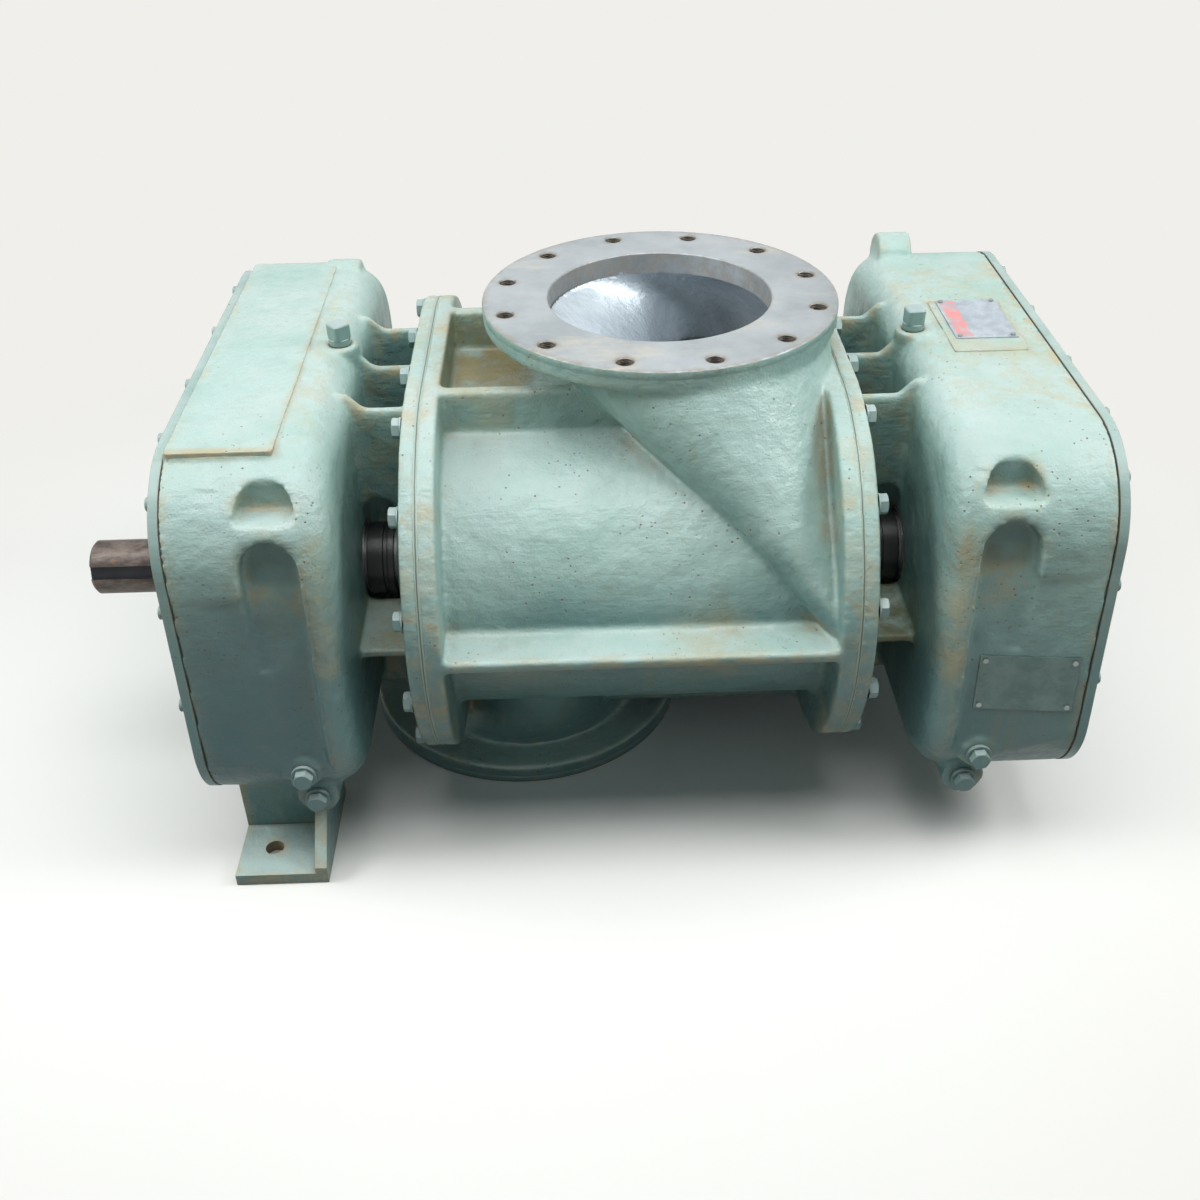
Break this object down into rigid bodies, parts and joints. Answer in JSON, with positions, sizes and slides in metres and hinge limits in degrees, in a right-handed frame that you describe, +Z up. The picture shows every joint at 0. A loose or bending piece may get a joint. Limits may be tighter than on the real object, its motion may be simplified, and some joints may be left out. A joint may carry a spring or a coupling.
{
  "type": "roots blower",
  "caption": "Twin-lobe rotary blower: ribbed casing with round flanged ports, geared heads at both ends, meshing two-lobed rotors and a keyed drive shaft.",
  "frame": {"origin": "centre of the discharge flange's face, on the plane the feet stand on", "axes": "+Z up along the discharge port's axis, +X along the rotor shafts from the drive end to the free end, +Y away from the drive shaft's side to the back"},
  "size_m": [1.355, 0.86, 0.67],
  "materials": {
    "green_casting": "sand-cast iron under old gloss enamel, rust at the edges",
    "green_cover": "flat plate under the same enamel",
    "painted_bolts": "enamelled over zinc plate, worn at the corners",
    "gasket_sheet": "dark compressed sheet",
    "machined_steel": "turned and ground",
    "bearing_steel": "ground and polished",
    "rotor_iron": "machined lobes, turned shafts, rust on the bare shaft end",
    "gear_steel": "hobbed alloy steel with an oil film",
    "black_steel": "blackened steel",
    "seal_rubber": "moulded nitrile",
    "plate_metal": "worn etched plate, left blank",
    "plate_painted": "thin plate painted with the casting",
    "pin_steel": "drive screws, dulled"
  },
  "bodies": {
    "casing": {"rotor_casing": "green_casting", "drive_shaft_seal_carrier": "green_cover", "drive_shaft_lip_seal": "seal_rubber", "front_foot": "green_casting", "back_foot": "green_casting", "foot_bolts": "painted_bolts", "rating_plate": "plate_metal", "blank_plate": "plate_painted", "plate_drive_screws": "pin_steel", "drive_end_head": "green_casting", "drive_end_casing_gasket": "gasket_sheet", "drive_end_cover_gasket": "gasket_sheet", "drive_end_cover": "green_cover", "drive_end_head_bolts": "painted_bolts", "drive_end_cover_screws": "painted_bolts", "drive_end_fill_plug": "painted_bolts", "drive_end_air_seal_rings": "machined_steel", "drive_end_oil_seal_rings": "machined_steel", "drive_end_bearing_outer_rings": "bearing_steel", "drive_end_bearing_retainers": "machined_steel", "drive_end_drain_bolt": "painted_bolts", "drive_end_lug_bolt": "painted_bolts", "free_end_head": "green_casting", "free_end_casing_gasket": "gasket_sheet", "free_end_cover_gasket": "gasket_sheet", "free_end_cover": "green_cover", "free_end_head_bolts": "painted_bolts", "free_end_cover_screws": "painted_bolts", "free_end_fill_plug": "painted_bolts", "free_end_air_seal_rings": "machined_steel", "free_end_oil_seal_rings": "machined_steel", "free_end_bearing_outer_rings": "bearing_steel", "free_end_bearing_retainers": "machined_steel", "free_end_drain_bolt": "painted_bolts", "free_end_lug_bolt": "painted_bolts"},
    "drive_rotor_group": {"drive_rotor": "rotor_iron", "drive_timing_gear": "gear_steel", "drive_oil_slingers": "black_steel", "drive_bearing_inner_rings": "bearing_steel", "drive_shaft_locknuts": "machined_steel"},
    "drive_drive_end_roller_cage": {"drive_drive_end_rollers": "bearing_steel"},
    "drive_free_end_roller_cage": {"drive_free_end_rollers": "bearing_steel"},
    "driven_rotor_group": {"driven_rotor": "rotor_iron", "driven_timing_gear": "gear_steel", "driven_oil_slingers": "black_steel", "driven_bearing_inner_rings": "bearing_steel", "driven_shaft_locknuts": "machined_steel"},
    "driven_drive_end_roller_cage": {"driven_drive_end_rollers": "bearing_steel"},
    "driven_free_end_roller_cage": {"driven_free_end_rollers": "bearing_steel"}
  },
  "joints": [
    {"name": "drive_rotor_spin", "type": "hinge", "parent": "casing", "child": "drive_rotor_group", "pos_m": [0.168, -0.127, 0.335], "axis": [1, 0, 0], "continuous": true},
    {"name": "driven_rotor_spin", "type": "hinge", "parent": "casing", "child": "driven_rotor_group", "pos_m": [0.168, 0.127, 0.335], "axis": [1, 0, 0], "continuous": true},
    {"name": "drive_drive_end_cage_spin", "type": "hinge", "parent": "casing", "child": "drive_drive_end_roller_cage", "pos_m": [0.168, -0.127, 0.335], "axis": [1, 0, 0], "continuous": true},
    {"name": "drive_free_end_cage_spin", "type": "hinge", "parent": "casing", "child": "drive_free_end_roller_cage", "pos_m": [0.168, -0.127, 0.335], "axis": [1, 0, 0], "continuous": true},
    {"name": "driven_drive_end_cage_spin", "type": "hinge", "parent": "casing", "child": "driven_drive_end_roller_cage", "pos_m": [0.168, 0.127, 0.335], "axis": [1, 0, 0], "continuous": true},
    {"name": "driven_free_end_cage_spin", "type": "hinge", "parent": "casing", "child": "driven_free_end_roller_cage", "pos_m": [0.168, 0.127, 0.335], "axis": [1, 0, 0], "continuous": true}
  ],
  "couplings": [
    {"joint": "driven_rotor_spin", "follows": "drive_rotor_spin", "ratio": -1},
    {"joint": "drive_drive_end_cage_spin", "follows": "drive_rotor_spin", "ratio": 0.432},
    {"joint": "drive_free_end_cage_spin", "follows": "drive_rotor_spin", "ratio": 0.432},
    {"joint": "driven_drive_end_cage_spin", "follows": "drive_rotor_spin", "ratio": -0.432},
    {"joint": "driven_free_end_cage_spin", "follows": "drive_rotor_spin", "ratio": -0.432}
  ]
}
